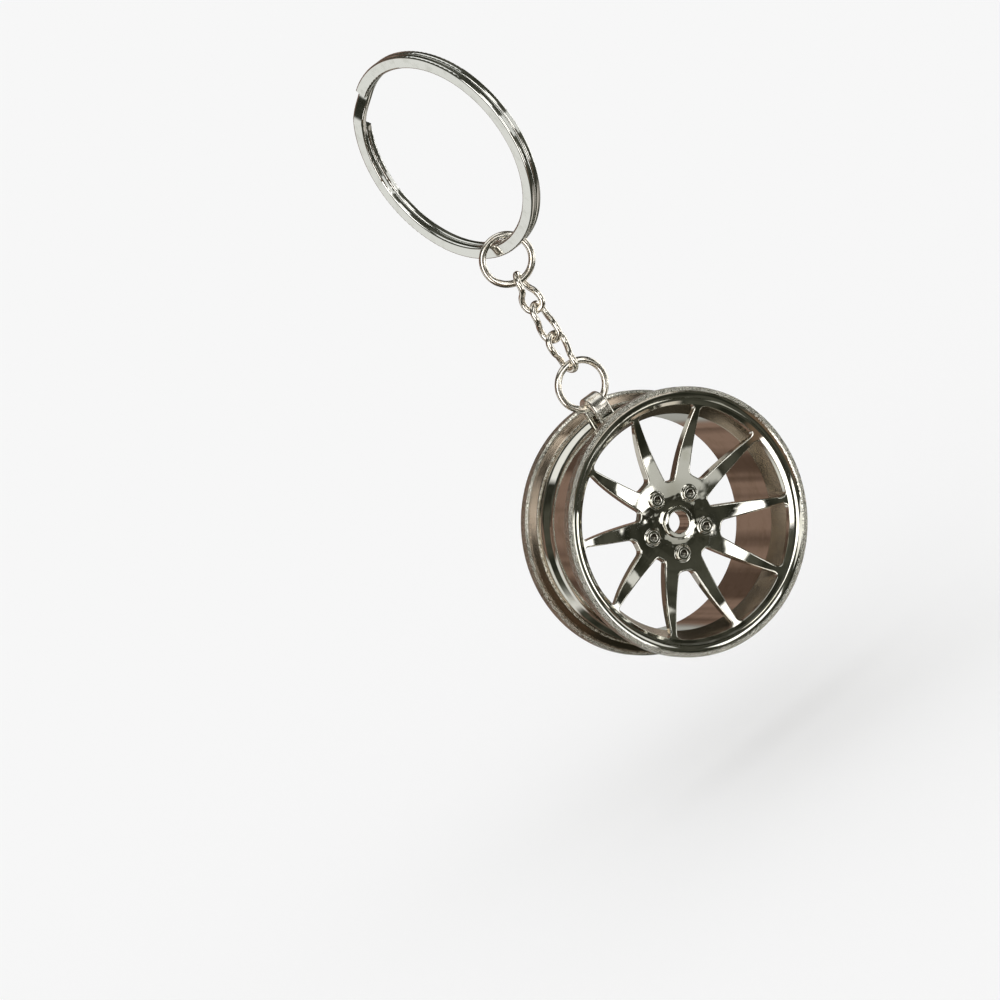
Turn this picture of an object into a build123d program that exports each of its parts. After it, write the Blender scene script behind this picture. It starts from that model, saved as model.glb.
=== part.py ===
"""Wheel rim keychain: a split ring, a short curb chain between two jump rings, and a cast ten-spoke wheel."""
from build123d import *
import math
import os

os.makedirs("parts", exist_ok=True)

# Running gap between two wires that hang in each other
wire_gap = 0.05
# One overrun serves every cut
cut_overrun = 1.0

# Split ring: one flat wire wound into two turns
ring_outer_radius = 16.0
ring_wire_width = 1.85
ring_turn_height = 0.95
ring_turn_gap = 0.06
ring_edge_radius = 0.28
ring_end_gap_angle = 2
ring_jog_angle = 20
ring_jog_place = -55
ring_yaw = 14
jog_steps = 6

# Jump rings: round wire, closed butt to butt
jump_wire_radius = 0.5
jump_inner_radius = 3.0
jump_slit = 0.08
upper_jump_yaw = -20
upper_slit_place = 100
lower_slit_place = -75

# Curb chain: links twisted about their length
link_count = 3
link_wire_radius = 0.45
link_end_radius = 1.35
link_inner_length = 5.0
link_twist = 90
wire_crossing = 70

# Wheel barrel: two flanges and a shallow drop centre
wheel_radius = 19.0
wheel_width = 15.0
flange_width = 1.3
flange_slope_depth = 0.75
flange_edge_radius = 0.35
flange_height = 1.6
seat_width = 1.4
drop_depth = 0.7
drop_slope_width = 1.7
drop_blend_radius = 2.0
barrel_wall = 1.4
bore_cone_depth = 2.4
rear_lip_width = 1.0
rear_lip_depth = 0.8
lip_land_width = 0.2
lip_band_width = 0.96
lip_band_depth = 0.5
lip_band_hollow = 0.08
balance_depth = 7.73

# Bail: a strap arch cast on the barrel
bail_width = 2.6
bail_thickness = 1.0
bail_hole_radius = 1.1
bail_rise = 2.5
bail_edge_radius = 0.35

# Wheel face: spokes, hub and the ring that seats in the barrel
face_clearance = 0.03
face_ring_width = 0.9
face_ring_depth = 0.35
face_ring_thickness = 1.1
face_bevel_width = 0.45
face_bevel_depth = 0.4
face_groove = 0.15
spoke_count = 10
spoke_turn = -4.7
spoke_tip_width = 0.72
spoke_root_width = 1.7
spoke_tip_fillet = 0.7
spoke_root_thickness = 1.2
spoke_draft = 5
spoke_edge_radius = 0.2
web_radius = 6.8
gap_radius = 5.5
hub_depth = 3.7
hub_thickness = 2.3
hub_flat_radius = 5.0
hub_slope_width = 0.7
hub_bore_radius = 1.6
collar_width = 0.7
collar_height = 0.6
collar_edge_radius = 0.15
lug_circle_radius = 4.5
lug_radius = 1.05
lug_height = 0.45
lug_hole_radius = 0.5
lug_hole_depth = 0.8
lug_edge_radius = 0.15

# Sizes worked out from the ones above
ring_inner_radius = ring_outer_radius - ring_wire_width
ring_middle_radius = ring_outer_radius - ring_wire_width / 2
ring_pitch = ring_turn_height + ring_turn_gap
ring_height = ring_turn_height + ring_pitch
jump_centre_radius = jump_inner_radius + jump_wire_radius
link_half_length = link_inner_length / 2 + link_wire_radius
hang_step = jump_wire_radius + link_wire_radius + wire_gap
link_step = 2 * link_wire_radius + wire_gap
seat_radius = wheel_radius - flange_height
drop_radius = seat_radius - drop_depth
bore_radius = drop_radius - barrel_wall
bail_crest_radius = wheel_radius + bail_rise
recess_radius = wheel_radius - flange_edge_radius - lip_land_width - lip_band_width
face_ring_radius = recess_radius - face_clearance
shoulder_depth = face_ring_depth + face_ring_thickness
window_radius = face_ring_radius - face_ring_width
spoke_step = 360 / spoke_count
lug_count = spoke_count // 2


def seat_height(half_width, corner_radius):
    """Height of a jump ring's centre above the flat strip that lies in the bottom of its hole."""
    reach = jump_inner_radius - corner_radius - wire_gap
    return math.sqrt(reach ** 2 - (half_width - corner_radius) ** 2) + corner_radius


def compass(angle):
    """Level unit vector at an angle from +X towards +Y."""
    return Vector(math.cos(math.radians(angle)), math.sin(math.radians(angle)), 0)


# Heights and turns down the hanging chain
ring_centre_z = -ring_inner_radius
ring_turned_half = ring_height / 2 / math.cos(math.radians(ring_yaw - upper_jump_yaw))
upper_jump_z = -2 * ring_inner_radius - seat_height(ring_turned_half, ring_edge_radius)
link_turn = wire_crossing - link_twist
head_turns = [upper_jump_yaw + wire_crossing + number * link_turn for number in range(link_count)]
first_link_z = upper_jump_z - jump_centre_radius + hang_step - link_half_length
link_centres = [first_link_z - number * (2 * link_half_length - link_step) for number in range(link_count)]
lower_jump_yaw = head_turns[-1] - link_twist + wire_crossing
lower_jump_z = link_centres[-1] - link_half_length + hang_step - jump_centre_radius
bail_turned_half = bail_width / 2 / math.cos(math.radians(lower_jump_yaw))
bail_inner_crest = bail_crest_radius - bail_thickness
wheel_z = lower_jump_z - seat_height(bail_turned_half, bail_edge_radius) - bail_inner_crest

# Split ring
ring_axis = compass(ring_yaw)
ring_plane = Plane(origin=(0, 0, ring_centre_z), x_dir=(0, 0, 1), z_dir=ring_axis)
ring_low_level = -ring_pitch / 2
ring_high_level = ring_pitch / 2


def ring_section_plane(angle, level):
    """Plane across the ring's wire, at an angle from the top towards the front."""
    radial = ring_plane.x_dir.rotate(Axis((0, 0, 0), ring_axis), angle)
    origin = ring_plane.origin + radial * ring_middle_radius + ring_axis * level
    return Plane(origin=origin, x_dir=radial, z_dir=ring_axis.cross(radial))


jog_end = ring_jog_place + ring_jog_angle
turn_angle = 360 - ring_jog_angle - ring_end_gap_angle
with BuildPart() as split_ring:
    with BuildSketch(ring_section_plane(jog_end + ring_end_gap_angle, ring_low_level)):
        RectangleRounded(ring_wire_width, ring_turn_height, ring_edge_radius)
    revolve(axis=Axis(ring_plane.origin, ring_axis), revolution_arc=turn_angle)
    with BuildSketch(ring_section_plane(jog_end, ring_high_level)):
        RectangleRounded(ring_wire_width, ring_turn_height, ring_edge_radius)
    revolve(axis=Axis(ring_plane.origin, ring_axis), revolution_arc=turn_angle)
    for step in range(jog_steps + 1):
        share = step / jog_steps
        rise = ring_pitch * (3 * share ** 2 - 2 * share ** 3)
        with BuildSketch(ring_section_plane(ring_jog_place + ring_jog_angle * share, ring_low_level + rise)):
            RectangleRounded(ring_wire_width, ring_turn_height, ring_edge_radius)
    loft()
split_ring.part.label = "split_ring"
export_step(split_ring.part, "parts/split_ring.step")


# Jump rings
jump_rings = (
    ("upper_jump_ring", upper_jump_z, upper_jump_yaw, upper_slit_place),
    ("lower_jump_ring", lower_jump_z, lower_jump_yaw, lower_slit_place),
)
slit_angle = math.degrees(jump_slit / jump_centre_radius)
for jump_name, centre_z, yaw, slit_place in jump_rings:
    axis = compass(yaw).cross(Vector(0, 0, 1))
    start = Vector(0, 0, 1).rotate(Axis((0, 0, 0), axis), slit_place + slit_angle / 2)
    section_plane = Plane(
        origin=Vector(0, 0, centre_z) + start * jump_centre_radius, x_dir=start, z_dir=axis.cross(start)
    )
    with BuildPart() as jump_ring:
        with BuildSketch(section_plane):
            Circle(jump_wire_radius)
        revolve(axis=Axis((0, 0, centre_z), axis), revolution_arc=360 - slit_angle)
    jump_ring.part.label = jump_name
    export_step(jump_ring.part, f"parts/{jump_name}.step")

# Chain links: half-round ends in two planes, joined by legs that swing round the link's length
end_height = link_half_length - link_end_radius
for number in range(link_count):
    link_name = f"chain_link_{number + 1}"
    middle = Vector(0, 0, link_centres[number])
    head_side = compass(head_turns[number]) * link_end_radius
    tail_side = compass(head_turns[number] - link_twist) * link_end_radius
    up = Vector(0, 0, end_height)
    tip = Vector(0, 0, link_half_length)
    down = Vector(0, 0, -1)
    leg_middle = (head_side + tail_side) / 2
    with BuildPart() as chain_link:
        with BuildLine():
            ThreePointArc(middle + up - head_side, middle + tip, middle + up + head_side)
            front_top = TangentArc(middle + up + head_side, middle + leg_middle, tangent=down)
            TangentArc(front_top @ 1, middle - up + tail_side, tangent=front_top % 1)
        with BuildSketch(Plane(origin=middle + up - head_side, z_dir=-down)):
            Circle(link_wire_radius)
        sweep()
        with BuildLine():
            ThreePointArc(middle - up + tail_side, middle - tip, middle - up - tail_side)
            back_low = TangentArc(middle - up - tail_side, middle - leg_middle, tangent=-down)
            TangentArc(back_low @ 1, middle + up - head_side, tangent=back_low % 1)
        with BuildSketch(Plane(origin=middle - up + tail_side, z_dir=down)):
            Circle(link_wire_radius)
        sweep()
    chain_link.part.label = link_name
    export_step(chain_link.part, f"parts/{link_name}.step")

# Planes of the wheel: its open front, and a half section through its axis
front_y = -balance_depth
wheel_front = Plane(origin=(0, front_y, wheel_z), x_dir=(1, 0, 0), z_dir=(0, -1, 0))
wheel_section = Plane(origin=(0, front_y, wheel_z), x_dir=(1, 0, 0), z_dir=(0, 0, 1))
wheel_axis = Axis((0, front_y, wheel_z), (0, 1, 0))

# Bail
bail_foot = bore_radius + (drop_radius - bore_radius) / 2
bail_outer_radius = bail_hole_radius + bail_thickness
bail_arch_centre = bail_crest_radius - bail_outer_radius
with BuildPart() as bail:
    with BuildSketch(Plane.YZ.offset(-bail_width / 2)):
        with Locations((0, wheel_z + bail_arch_centre)):
            Circle(bail_outer_radius)
        with Locations((0, wheel_z + (bail_foot + bail_arch_centre) / 2)):
            Rectangle(2 * bail_outer_radius, bail_arch_centre - bail_foot)
        with Locations((0, wheel_z + bail_arch_centre)):
            Circle(bail_hole_radius, mode=Mode.SUBTRACT)
        with Locations((0, wheel_z + (bail_foot + bail_arch_centre) / 2)):
            Rectangle(2 * bail_hole_radius, bail_arch_centre - bail_foot, mode=Mode.SUBTRACT)
    extrude(amount=bail_width)
    fillet(bail.edges().filter_by(Plane.YZ).filter_by(Axis.Y, reverse=True), bail_edge_radius)

# Wheel barrel, cast with its bail
seat_start = flange_width + flange_slope_depth
drop_start = seat_start + seat_width
lip_inner_radius = recess_radius + lip_band_width
with BuildPart() as wheel_barrel:
    with BuildSketch(wheel_section) as barrel_profile:
        with BuildLine():
            Polyline(
                (lip_inner_radius, 0),
                (wheel_radius, 0),
                (wheel_radius, flange_width),
                (seat_radius, seat_start),
                (seat_radius, drop_start),
                (drop_radius, drop_start + drop_slope_width),
                (drop_radius, wheel_width - drop_start - drop_slope_width),
                (seat_radius, wheel_width - drop_start),
                (seat_radius, wheel_width - seat_start),
                (wheel_radius, wheel_width - flange_width),
                (wheel_radius, wheel_width),
                (bore_radius + rear_lip_width, wheel_width),
                (bore_radius, wheel_width - rear_lip_depth),
                (bore_radius, shoulder_depth + bore_cone_depth),
                (window_radius, shoulder_depth),
                (recess_radius, shoulder_depth),
                (recess_radius, lip_band_depth),
            )
            SagittaArc((recess_radius, lip_band_depth), (lip_inner_radius, 0), lip_band_hollow)
        make_face()
        flange_corners = barrel_profile.vertices().group_by(Axis.X)[-1]
        drop_corners = barrel_profile.vertices().filter_by_position(Axis.X, drop_radius, drop_radius)
        seat_corners = barrel_profile.vertices().filter_by_position(Axis.X, seat_radius, seat_radius)
        fillet(drop_corners + seat_corners.sort_by(Axis.Y)[1:3], drop_blend_radius)
        fillet(flange_corners, flange_edge_radius)
    revolve(axis=wheel_axis)
    add(bail.part)
wheel_barrel.part.label = "wheel_barrel"
export_step(wheel_barrel.part, "parts/wheel_barrel.step")


def window_outline(inner_radius, inset):
    """Opening between two spokes, drawn about +X, with its inner end rounded."""
    half_step = math.radians(spoke_step / 2)
    along = Vector(math.cos(half_step), math.sin(half_step))
    across = Vector(math.sin(half_step), -math.cos(half_step))
    root = along * inner_radius + across * spoke_root_width / 2
    end = along * window_radius + across * spoke_tip_width / 2
    end = end * (window_radius / end.length)
    with BuildSketch() as outline:
        with BuildLine():
            Line((root.X, -root.Y), (end.X, -end.Y))
            ThreePointArc((end.X, -end.Y), (window_radius, 0), (end.X, end.Y))
            Line((end.X, end.Y), (root.X, root.Y))
            Line((root.X, root.Y), (root.X, -root.Y))
        make_face()
        fillet(outline.vertices().group_by(Axis.X)[0], root.Y * root_corner_share)
        fillet(outline.vertices().group_by(Axis.X)[-1], spoke_tip_fillet)
        if inset > 0:
            offset(amount=-inset, mode=Mode.REPLACE)
    return outline.sketch


# Tapered cutters for the two kinds of window
root_corner_share = 0.96
hub_back = hub_depth + hub_thickness
cut_depth = hub_back + cut_overrun
draft_width = cut_depth * math.tan(math.radians(spoke_draft))
with BuildPart() as web_cutter:
    with BuildSketch():
        add(window_outline(web_radius, 0))
    with BuildSketch(Plane.XY.offset(-cut_depth)):
        add(window_outline(web_radius, draft_width))
    loft()
with BuildPart() as gap_cutter:
    with BuildSketch():
        add(window_outline(gap_radius, 0))
    with BuildSketch(Plane.XY.offset(-cut_depth)):
        add(window_outline(gap_radius, draft_width))
    loft()

# One fifth of the wheel face, from the middle of one spoke to the next but one, with its front at the top
bevel_depth = face_ring_depth + face_bevel_depth
collar_top = hub_depth - collar_height
collar_radius = hub_bore_radius + collar_width
lug_top = hub_depth - lug_height
hub_slope_end = hub_flat_radius + hub_slope_width
spoke_root_back = hub_depth + spoke_root_thickness
fifth_start = Vector(1, 0, 0).rotate(Axis.Z, -1.5 * spoke_step)
fifth_section = Plane(origin=(0, 0, 0), x_dir=fifth_start, z_dir=fifth_start.cross(Vector(0, 0, -1)))
with BuildPart() as face_fifth:
    with BuildSketch(fifth_section) as face_profile:
        with BuildLine():
            TangentArc((hub_flat_radius, hub_depth), (window_radius, bevel_depth), tangent=(1, 0))
            Polyline(
                (hub_flat_radius, hub_depth),
                (collar_radius, hub_depth),
                (collar_radius, collar_top),
                (hub_bore_radius, collar_top),
                (hub_bore_radius, hub_back),
                (hub_flat_radius, hub_back),
                (hub_slope_end, spoke_root_back),
            )
            TangentArc((hub_slope_end, spoke_root_back), (window_radius, shoulder_depth), tangent=(1, 0))
            Polyline(
                (window_radius, shoulder_depth),
                (face_ring_radius, shoulder_depth),
                (face_ring_radius, face_ring_depth + face_groove),
                (face_ring_radius - face_groove, face_ring_depth),
                (window_radius + face_bevel_width, face_ring_depth),
                (window_radius, bevel_depth),
            )
        make_face()
        collar_corners = face_profile.vertices().filter_by_position(Axis.Y, collar_top, collar_top)
        fillet(collar_corners, collar_edge_radius)
    revolve(axis=Axis.Z, revolution_arc=2 * spoke_step)
    add(web_cutter.part, mode=Mode.SUBTRACT)
    with PolarLocations(0, 1, start_angle=-spoke_step):
        add(gap_cutter.part, mode=Mode.SUBTRACT)
    dished_front = face_fifth.faces().filter_by(GeomType.REVOLUTION).sort_by(Axis.Z)[-1]
    window_edges = [edge for wire in dished_front.inner_wires() for edge in wire.edges()]
    fillet(window_edges, spoke_edge_radius)

# Wheel face: ten dished spokes in five pairs, a collar and five lug bosses
first_web_angle = 90 + spoke_turn + spoke_step / 2
with BuildPart() as wheel_face:
    with Locations(wheel_front):
        with PolarLocations(0, lug_count, start_angle=first_web_angle):
            add(face_fifth.part)
    with BuildSketch(wheel_front.offset(-hub_depth)):
        with PolarLocations(lug_circle_radius, lug_count, start_angle=first_web_angle):
            Circle(lug_radius)
    extrude(amount=lug_height)
    with BuildSketch(wheel_front.offset(-lug_top)):
        with PolarLocations(lug_circle_radius, lug_count, start_angle=first_web_angle):
            Circle(lug_hole_radius)
    extrude(amount=-lug_hole_depth, mode=Mode.SUBTRACT)
    lug_level = front_y + lug_top
    lug_rims = wheel_face.edges().filter_by(GeomType.CIRCLE).filter_by_position(Axis.Y, lug_level, lug_level)
    fillet(lug_rims.sort_by(SortBy.RADIUS)[: 2 * lug_count], lug_edge_radius)
wheel_face.part.label = "wheel_face"
export_step(wheel_face.part, "parts/wheel_face.step")
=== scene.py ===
"""Wheel rim keychain, finished for the render: plated split ring, nickel chain and a cast ten-spoke wheel."""
import bpy
import bmesh
import math
from mathutils import Matrix, Vector


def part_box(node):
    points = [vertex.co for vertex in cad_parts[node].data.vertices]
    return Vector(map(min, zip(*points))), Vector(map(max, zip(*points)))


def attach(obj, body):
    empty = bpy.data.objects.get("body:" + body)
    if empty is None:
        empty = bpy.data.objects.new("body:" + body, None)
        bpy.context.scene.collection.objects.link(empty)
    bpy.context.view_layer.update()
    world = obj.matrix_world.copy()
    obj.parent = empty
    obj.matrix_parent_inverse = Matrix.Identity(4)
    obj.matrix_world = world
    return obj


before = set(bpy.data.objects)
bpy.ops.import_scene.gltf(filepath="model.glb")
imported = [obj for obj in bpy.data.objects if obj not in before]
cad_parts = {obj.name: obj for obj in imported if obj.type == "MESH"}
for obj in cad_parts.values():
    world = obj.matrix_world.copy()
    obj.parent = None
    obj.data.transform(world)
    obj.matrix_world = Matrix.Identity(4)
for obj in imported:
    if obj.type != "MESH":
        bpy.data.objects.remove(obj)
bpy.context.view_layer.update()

MILLIMETRE = 0.001

# The wheel's own measures in metres, read from the frame
barrel_low, barrel_high = (Vector(corner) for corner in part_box("wheel_barrel"))
wheel_radius = (barrel_high.x - barrel_low.x) / 2
wheel_front_y = barrel_low.y
wheel_back_y = barrel_high.y
wheel_centre = Vector((0, wheel_front_y, barrel_low.z + wheel_radius))

# Hub of the wheel, in millimetres from the wheel's axis: the hollow round its collar and its lug bosses
hollow_start = 1.4
hollow_full = 3.2
hollow_fade = 3.4
hollow_end = 7.0
hollow_drop = 0.25
lug_reach = 4.5
lug_radius = 1.05
lug_edge = 0.3
dimple_radius = 0.5
first_lug = math.radians(31.3)
lug_step = math.radians(72)
# Depth behind the wheel's open front where the hub's front details have ended, in millimetres
hub_inside = (4.3, 4.6)

# Barrel of the wheel, in millimetres: its bead seat, where the rear flange rises from it, and the bead there
seat_reach = 17.4
seat_edge_depth = 12.8
bead_proud = 0.05
bead_thickness = 0.3
bead_sides = 12
bead_steps = 240
# Its rough lip and the rear flange's turned wall, from the rim inwards, and the cone behind the spokes
lip_middle = 0.2
lip_half = 0.25
lip_fade = 0.35
wall_width = 2.2
wall_middle = 1.0
wall_half = 0.5
wall_fade = 0.2
cone_inset = 2.2
cone_depth = 3.6
cone_fade = 0.6
# The bail begins just outside the rim, and its front leans and bulges by these slopes
bail_start = (0.1, 0.4)
bail_lean = 0.15
bail_bulge = 0.08

# The photograph: its size, and where the wheel's open front lies in it
photo_pixels = 1000
focal_pixels = 4284
sensor_width = 36
camera_distance = 0.6
wheel_pixel = (689.7, 521.8)
# How the object is turned in the picture: the way its back points, and its roll in the picture's plane
back_right = -0.435
back_down = 0.012
picture_roll = math.radians(31.2)

# The floor lies a little below the hanging wheel
floor_drop = 0.016
floor_reach = 12


class Value:
    """A shader socket that takes part in sums: 1 - mask adds its own Math node."""

    def __init__(self, tree, socket):
        self.tree = tree
        self.socket = socket

    def maths(self, operation, *values):
        return self.tree.node("ShaderNodeMath", {"operation": operation}, dict(enumerate(values)))

    def __add__(self, other):
        return self.maths("ADD", self, other)

    def __radd__(self, other):
        return self.maths("ADD", other, self)

    def __sub__(self, other):
        return self.maths("SUBTRACT", self, other)

    def __rsub__(self, other):
        return self.maths("SUBTRACT", other, self)

    def __mul__(self, other):
        return self.maths("MULTIPLY", self, other)

    def __truediv__(self, other):
        return self.maths("DIVIDE", self, other)

    def __pow__(self, other):
        return self.maths("POWER", self, other)

    def __abs__(self):
        return self.maths("ABSOLUTE", self)

    def rise(self, low, high):
        """Smooth step from 0 at low to 1 at high."""
        return self.tree.node(
            "ShaderNodeMapRange",
            {"interpolation_type": "SMOOTHSTEP"},
            {"Value": self, "From Min": low, "From Max": high},
        )

    def band(self, middle, half, edge):
        """1 within half of the middle, fading to 0 over an edge."""
        return 1 - abs(self - middle).rise(half, half + edge)


class Shading:
    """A node tree, filled through one method."""

    def __init__(self, owner):
        owner.use_nodes = True
        self.nodes = owner.node_tree.nodes
        self.links = owner.node_tree.links
        self.nodes.clear()

    def node(self, kind, settings, inputs, output=0):
        made = self.nodes.new(kind)
        for name, setting in settings.items():
            setattr(made, name, setting)
        for name, value in inputs.items():
            if isinstance(value, Value):
                self.links.new(value.socket, made.inputs[name])
            else:
                made.inputs[name].default_value = value
        return Value(self, made.outputs[output]) if made.outputs else made

    def place(self):
        """The point on the piece, in millimetres."""
        spot = self.node("ShaderNodeTexCoord", {}, {}, "Object")
        return self.node("ShaderNodeVectorMath", {"operation": "SCALE"}, {0: spot, "Scale": 1 / MILLIMETRE})

    def shifted(self, vector, offset):
        return self.node("ShaderNodeVectorMath", {"operation": "SUBTRACT"}, {0: vector, 1: tuple(offset)})

    def stretched(self, vector, factors):
        return self.node("ShaderNodeVectorMath", {"operation": "MULTIPLY"}, {0: vector, 1: factors})

    def part(self, vector, axis):
        return self.node("ShaderNodeSeparateXYZ", {}, {0: vector}, "XYZ".index(axis))

    def joined(self, x, y, z):
        return self.node("ShaderNodeCombineXYZ", {}, {0: x, 1: y, 2: z})

    def dot(self, vector, axis):
        return self.node(
            "ShaderNodeVectorMath", {"operation": "DOT_PRODUCT"}, {0: vector, 1: tuple(axis)}, "Value"
        )

    def noise(self, vector, per_mm, detail=3.0, rough=0.5):
        return self.node(
            "ShaderNodeTexNoise", {}, {"Vector": vector, "Scale": per_mm, "Detail": detail, "Roughness": rough}
        )

    def mix(self, factor, first, second):
        return self.node(
            "ShaderNodeMix", {"data_type": "RGBA"}, {0: factor, 6: rgba(first), 7: rgba(second)}, 2
        )

    def finish(self, **sockets):
        surface = self.node("ShaderNodeBsdfPrincipled", {}, sockets)
        self.node("ShaderNodeOutputMaterial", {}, {"Surface": surface})


def rgba(colour):
    return colour if isinstance(colour, Value) else (*colour, 1)


def wheel_place(tree):
    """Distance from the wheel's axis, depth behind its open front, and the place, all in millimetres."""
    place = tree.shifted(tree.place(), wheel_centre / MILLIMETRE)
    across = tree.part(place, "X")
    height = tree.part(place, "Z")
    radius = (across * across + height * height) ** 0.5
    return radius, tree.part(place, "Y"), place


def lug_distance(tree, radius, place):
    """Distance from the middle of the nearest lug boss, in millimetres."""
    height = tree.part(place, "Z")
    turned = height.maths("ARCTAN2", height, tree.part(place, "X")) - first_lug
    folded = turned.maths("WRAP", turned, lug_step / 2, -lug_step / 2)
    outward = radius * folded.maths("COSINE", folded) - lug_reach
    beside = radius * folded.maths("SINE", folded)
    return (outward * outward + beside * beside) ** 0.5


def bump(tree, height):
    """Turn a height in millimetres into a normal."""
    return tree.node("ShaderNodeBump", {}, {"Height": height, "Strength": 1.0, "Distance": MILLIMETRE})


def metal(tree, colour, rough, height):
    """Finish a material as bare metal whose surface rises and falls by a height in millimetres."""
    tree.finish(**{"Base Color": colour, "Metallic": 1.0, "Roughness": rough, "Normal": bump(tree, height)})


def plated_steel():
    """Nickel over drawn spring steel: pale, with faint lines that run round the ring."""
    material = bpy.data.materials.new("ring_steel")
    tree = Shading(material)
    place = tree.place()
    wave = tree.noise(place, 0.4, 1.0)
    grain = tree.noise(place, 8.0, 4.0, 0.6)
    scuff = tree.noise(tree.stretched(place, (2.0, 0.6, 0.6)), 1.2, 4.0, 0.6).rise(0.5, 0.72)
    colour = tree.mix(scuff, (0.84, 0.845, 0.825), (0.74, 0.745, 0.715))
    metal(tree, colour, 0.05 + grain * 0.06 + scuff * 0.05, wave * 0.008 + grain * 0.0003)
    return material


def chain_nickel():
    """Bright warm nickel on bent wire."""
    material = bpy.data.materials.new("chain_nickel")
    tree = Shading(material)
    place = tree.place()
    wave = tree.noise(place, 1.1, 1.0)
    grain = tree.noise(place, 12.0, 3.0, 0.6)
    stain = tree.noise(place, 1.4, 3.0).rise(0.5, 0.72)
    colour = tree.mix(stain, (0.95, 0.91, 0.84), (0.80, 0.72, 0.62))
    metal(tree, colour, 0.15 + grain * 0.05 + stain * 0.06, wave * 0.004 + grain * 0.0002)
    return material


def cast_finish(tree, place):
    """Dark nickel over a zinc casting, smooth and faintly rippled: its colour, height and roughness."""
    ripple = tree.noise(place, 0.45, 1.0)
    fine = tree.noise(place, 5.0, 4.0, 0.65)
    tarnish = tree.noise(place, 0.35, 4.0, 0.6).rise(0.45, 0.7)
    colour = tree.mix(tarnish, (0.76, 0.75, 0.70), (0.67, 0.66, 0.59))
    return colour, ripple * 0.008 + fine * 0.0003, 0.035 + fine * 0.03


def face_nickel():
    """Cast nickel with a soft hollow round the hub's collar, darkened as painted shade, and painted shade near
    black in the dimples of the lug bosses.
    """
    material = bpy.data.materials.new("face_nickel")
    tree = Shading(material)
    radius, depth, place = wheel_place(tree)
    colour, height, rough = cast_finish(tree, place)
    front = 1 - depth.rise(*hub_inside)
    lug = lug_distance(tree, radius, place)
    hollow = radius.rise(hollow_start, hollow_full) * (1 - radius.rise(hollow_fade, hollow_end))
    hollow = hollow * lug.rise(lug_radius, lug_radius + lug_edge) * front
    dimple_shade = (1 - lug.rise(dimple_radius - 0.1, dimple_radius + 0.05)) * front
    height = height - hollow * hollow_drop + tree.noise(place, 0.7, 1.0) * hollow * 0.08
    # Painted shade: the hollow round the collar is darkened in colour as well as sunk by the bump
    colour = tree.mix(hollow * 0.7, colour, (0.42, 0.41, 0.35))
    # Painted shade: the dimples in the lug bosses are coloured near black
    colour = tree.mix(dimple_shade * 0.85, colour, (0.07, 0.065, 0.05))
    metal(tree, colour, rough + dimple_shade * 0.15, height)
    return material


def barrel_nickel():
    """Cast nickel with rough speckled lips and turned walls, a painted brown reflection on the inner faces and
    a painted highlight on the bail.
    """
    material = bpy.data.materials.new("barrel_nickel")
    tree = Shading(material)
    radius, depth, place = wheel_place(tree)
    colour, height, rough = cast_finish(tree, place)
    rim = wheel_radius / MILLIMETRE
    wide = (wheel_back_y - wheel_front_y) / MILLIMETRE
    lip = radius.band(rim - lip_middle, lip_half, lip_fade)
    flecks = lip * tree.noise(place, 4.5, 2.0, 0.7).rise(0.45, 0.6)
    wall = depth.rise(wide - wall_width, wide - wall_width + 0.3)
    wall = wall * radius.band(rim - wall_middle, wall_half, wall_fade)
    turned = tree.noise(tree.joined(radius * 7, 0.0, 0.0), 1.0, 2.0)
    cone = 1 - radius.rise(rim - cone_inset, rim - cone_inset + 0.2)
    cone = cone * (1 - depth.rise(cone_depth, cone_depth + cone_fade))
    bail = radius.rise(*(rim + step for step in bail_start))
    across = tree.part(place, "X")
    risen = tree.part(place, "Z") - rim
    lean = across * bail_lean - across * across * bail_bulge - risen * bail_lean
    # Painted reflection: the rear flange's wall and the cone behind the spokes are coloured warm brown
    colour = tree.mix(wall.maths("MAXIMUM", wall, cone) * 0.85, colour, (0.33, 0.25, 0.18))
    colour = tree.mix(flecks * 0.6, colour, (0.33, 0.31, 0.24))
    # Painted highlight: the bail is coloured paler than the rest of the casting
    colour = tree.mix(bail, colour, (0.96, 0.92, 0.85))
    rough = rough + lip * 0.05 + wall * 0.12 + cone * 0.18 + bail * 0.19
    metal(tree, colour, rough, height + flecks * 0.03 + wall * turned * 0.03 + bail * lean)
    return material


def finish_nodes():
    """Give each CAD node that stays its material."""
    finishes = {
        "split_ring": plated_steel(),
        "wheel_barrel": barrel_nickel(),
        "wheel_face": face_nickel(),
    }
    nickel = chain_nickel()
    for name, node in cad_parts.items():
        material = finishes.get(name, nickel)
        node.data.materials.clear()
        node.data.materials.append(material)


def turned_ring(name, radius, depth, thickness, material):
    """Thin round bead that runs round the wheel at a depth behind its open front, in millimetres."""
    shape = bmesh.new()
    centre = wheel_centre + Vector((radius, depth, 0)) * MILLIMETRE
    ends = []
    for number in range(bead_sides):
        angle = 2 * math.pi * number / bead_sides
        out = Vector((math.cos(angle), math.sin(angle), 0)) * thickness / 2 * MILLIMETRE
        ends.append(shape.verts.new(centre + out))
    loop = [shape.edges.new((ends[number - 1], ends[number])) for number in range(bead_sides)]
    bmesh.ops.spin(
        shape,
        geom=ends + loop,
        cent=wheel_centre,
        axis=(0, 1, 0),
        angle=2 * math.pi,
        steps=bead_steps,
        use_merge=True,
    )
    bmesh.ops.recalc_face_normals(shape, faces=shape.faces)
    for face in shape.faces:
        face.smooth = True
    mesh = bpy.data.meshes.new(name)
    shape.to_mesh(mesh)
    shape.free()
    piece = bpy.data.objects.new(name, mesh)
    mesh.materials.append(material)
    bpy.context.collection.objects.link(piece)
    return piece


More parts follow.
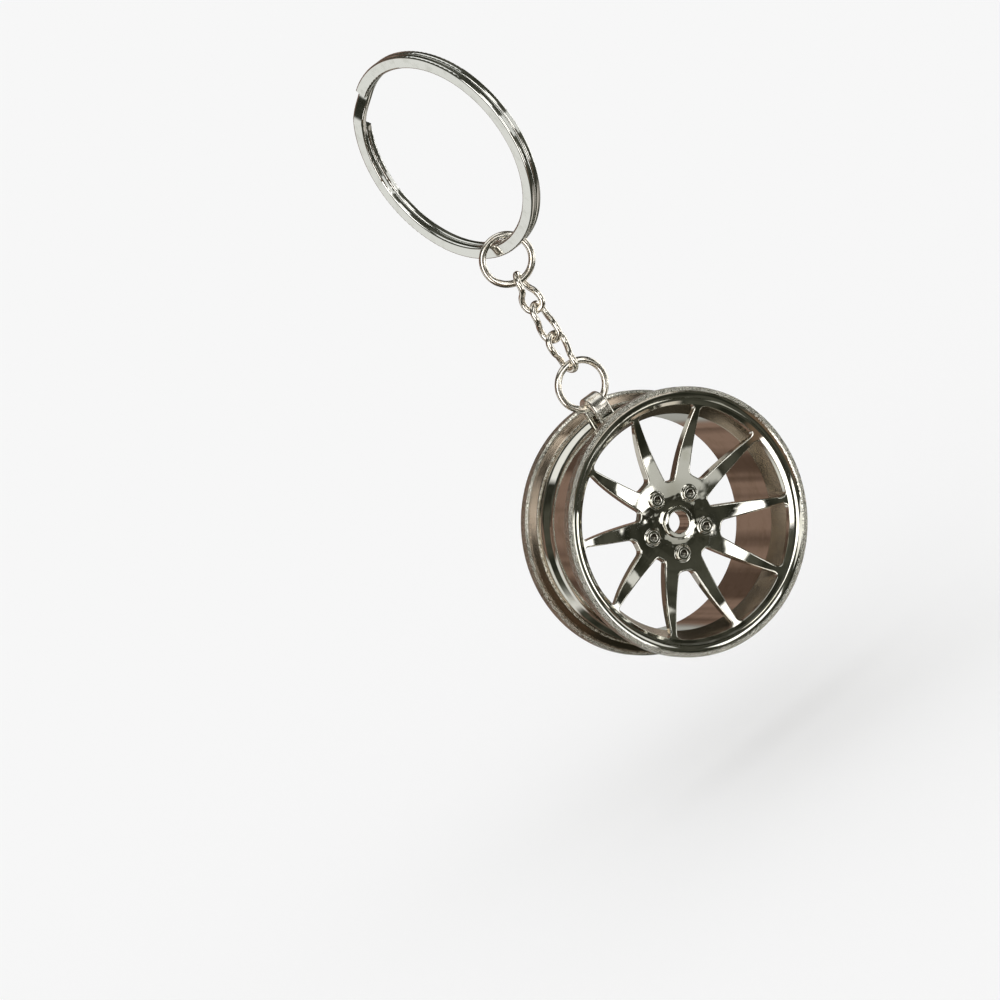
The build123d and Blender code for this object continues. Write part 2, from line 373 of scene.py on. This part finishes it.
def sparkling_nickel():
    """Rough cast edge that catches the light in single grains."""
    material = bpy.data.materials.new("sparkling_nickel")
    tree = Shading(material)
    grains = tree.noise(tree.place(), 4.0, 3.0, 0.7)
    colour = tree.mix(grains.rise(0.45, 0.6), (0.80, 0.77, 0.70), (0.35, 0.30, 0.22))
    metal(tree, colour, 0.18, grains * 0.12)
    return material


def dress_barrel():
    """The rough edge at the foot of the rear flange."""
    reach = seat_reach + bead_proud
    bead = turned_ring("rear_seat_edge", reach, seat_edge_depth, bead_thickness, sparkling_nickel())
    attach(bead, "wheel")


def picture_axes():
    """The picture's right, down and inward directions in the object's frame."""
    back = Vector((back_right, back_down, math.sqrt(1 - back_right ** 2 - back_down ** 2)))
    level = Vector((-math.sin(picture_roll), -math.cos(picture_roll)))
    inward = -(level.x * back.x + level.y * back.y) / back.z
    up = Vector((level.x, level.y, inward)).normalized()
    side = back.cross(up)
    return (Vector((side[n], back[n], up[n])) for n in range(3))


def aim_camera():
    right, down, inward = picture_axes()
    scale = camera_distance / focal_pixels
    aside = right * (wheel_pixel[0] - photo_pixels / 2) * scale
    below = down * (wheel_pixel[1] - photo_pixels / 2) * scale
    lens = bpy.data.cameras.new("camera")
    lens.sensor_width = sensor_width
    lens.lens = focal_pixels / photo_pixels * sensor_width
    lens.clip_start = 0.01
    lens.clip_end = 4 * floor_reach
    camera = bpy.data.objects.new("camera", lens)
    place = wheel_centre - aside - below - inward * camera_distance
    turn = Matrix((right, -down, -inward)).transposed().to_4x4()
    camera.matrix_world = Matrix.Translation(place) @ turn
    bpy.context.collection.objects.link(camera)
    bpy.context.scene.camera = camera


def lay_floor():
    """Plain pale floor for the camera, which the metal doesn't reflect."""
    shape = bmesh.new()
    bmesh.ops.create_grid(shape, x_segments=1, y_segments=1, size=floor_reach)
    bmesh.ops.translate(shape, verts=shape.verts, vec=(0, 0, barrel_low.z - floor_drop))
    mesh = bpy.data.meshes.new("floor")
    shape.to_mesh(mesh)
    shape.free()
    floor = bpy.data.objects.new("floor", mesh)
    material = bpy.data.materials.new("floor")
    tree = Shading(material)
    tree.finish(**{"Base Color": (0.93, 0.93, 0.93, 1), "Roughness": 0.9, "Specular IOR Level": 0.0})
    mesh.materials.append(material)
    floor.visible_glossy = False
    bpy.context.collection.objects.link(floor)


def light_panel(tree, towards, centre, half_width, half_height, edge):
    """How much of a direction's view a studio panel fills: 1 on the panel, 0 off it."""
    forward = Vector(centre).normalized()
    side = forward.cross(Vector((0, 0, 1))).normalized()
    up = side.cross(forward)
    ahead = tree.dot(towards, forward)
    near = ahead.maths("MAXIMUM", ahead, 0.05)
    wide = (tree.dot(towards, side) / near).band(0, half_width, edge)
    tall = (tree.dot(towards, up) / near).band(0, half_height, edge)
    return wide * tall * ahead.rise(0.0, 0.1)


# The warm wall behind the object, as the panels below but with folds of colour
WARM_WALL = ((-0.10, 1.00, -0.05), 1.30, 0.60, 0.40)
# What the metal shows: centre, half width, half height, soft edge and glow of each panel round the object,
# where a later panel hides an earlier one
STUDIO_PANELS = (
    ((0.62, 0.72, -0.30), 0.50, 0.22, 0.20, (0.36, 0.36, 0.33)),
    ((0.00, 0.10, 1.00), 0.42, 0.42, 0.12, (1.00, 1.00, 0.96)),
    ((-0.75, 0.62, -0.22), 0.20, 0.26, 0.12, (0.80, 0.80, 0.76)),
    ((-0.70, -0.60, -0.35), 0.35, 0.30, 0.15, (0.17, 0.115, 0.075)),
    ((-0.86, -0.50, 0.06), 0.18, 0.60, 0.05, (3.00, 2.95, 2.82)),
    ((0.90, 0.38, -0.15), 0.14, 0.42, 0.06, (2.40, 2.36, 2.25)),
    ((0.97, -0.13, -0.20), 0.16, 0.40, 0.05, (1.70, 1.70, 1.65)),
    ((0.76, -0.64, -0.04), 0.06, 0.15, 0.03, (0.80, 0.80, 0.76)),
    ((0.39, -0.78, 0.46), 0.30, 0.11, 0.04, (2.00, 1.98, 1.90)),
    ((-0.40, -0.84, 0.36), 0.24, 0.16, 0.05, (1.20, 1.18, 1.12)),
    ((0.02, -0.99, 0.03), 0.23, 0.13, 0.04, (2.60, 2.56, 2.45)),
    ((0.50, -0.70, -0.49), 0.11, 0.11, 0.04, (3.40, 3.35, 3.20)),
    ((0.24, -0.87, -0.43), 0.17, 0.12, 0.04, (0.60, 0.60, 0.56)),
    ((0.30, 0.10, -1.00), 0.30, 0.30, 0.12, (0.80, 0.74, 0.66)),
)


def light_studio():
    """White for the camera and the floor, and dark walls with bright panels for the metal to show."""
    world = bpy.data.worlds.new("studio")
    bpy.context.scene.world = world
    tree = Shading(world)
    towards = tree.node("ShaderNodeTexCoord", {}, {}, "Generated")
    cloud = tree.noise(towards, 3.0, 3.0).rise(0.35, 0.65)
    colour = tree.mix(cloud, (0.020, 0.021, 0.014), (0.075, 0.075, 0.057))
    fold = tree.noise(towards, 5.0, 2.0).rise(0.38, 0.62)
    warm = tree.mix(fold, (0.25, 0.165, 0.125), (0.095, 0.06, 0.043))
    colour = tree.mix(light_panel(tree, towards, *WARM_WALL), colour, warm)
    for centre, half_width, half_height, edge, glow in STUDIO_PANELS:
        colour = tree.mix(light_panel(tree, towards, centre, half_width, half_height, edge), colour, glow)
    glossy = tree.node("ShaderNodeLightPath", {}, {}, "Is Glossy Ray")
    seen = tree.mix(glossy, (1.0, 1.0, 1.0), colour)
    background = tree.node("ShaderNodeBackground", {}, {"Color": seen, "Strength": 1.0})
    tree.node("ShaderNodeOutputWorld", {}, {"Surface": background})


bpy.context.scene.view_settings.view_transform = "Standard"
aim_camera()
lay_floor()
light_studio()
finish_nodes()
dress_barrel()
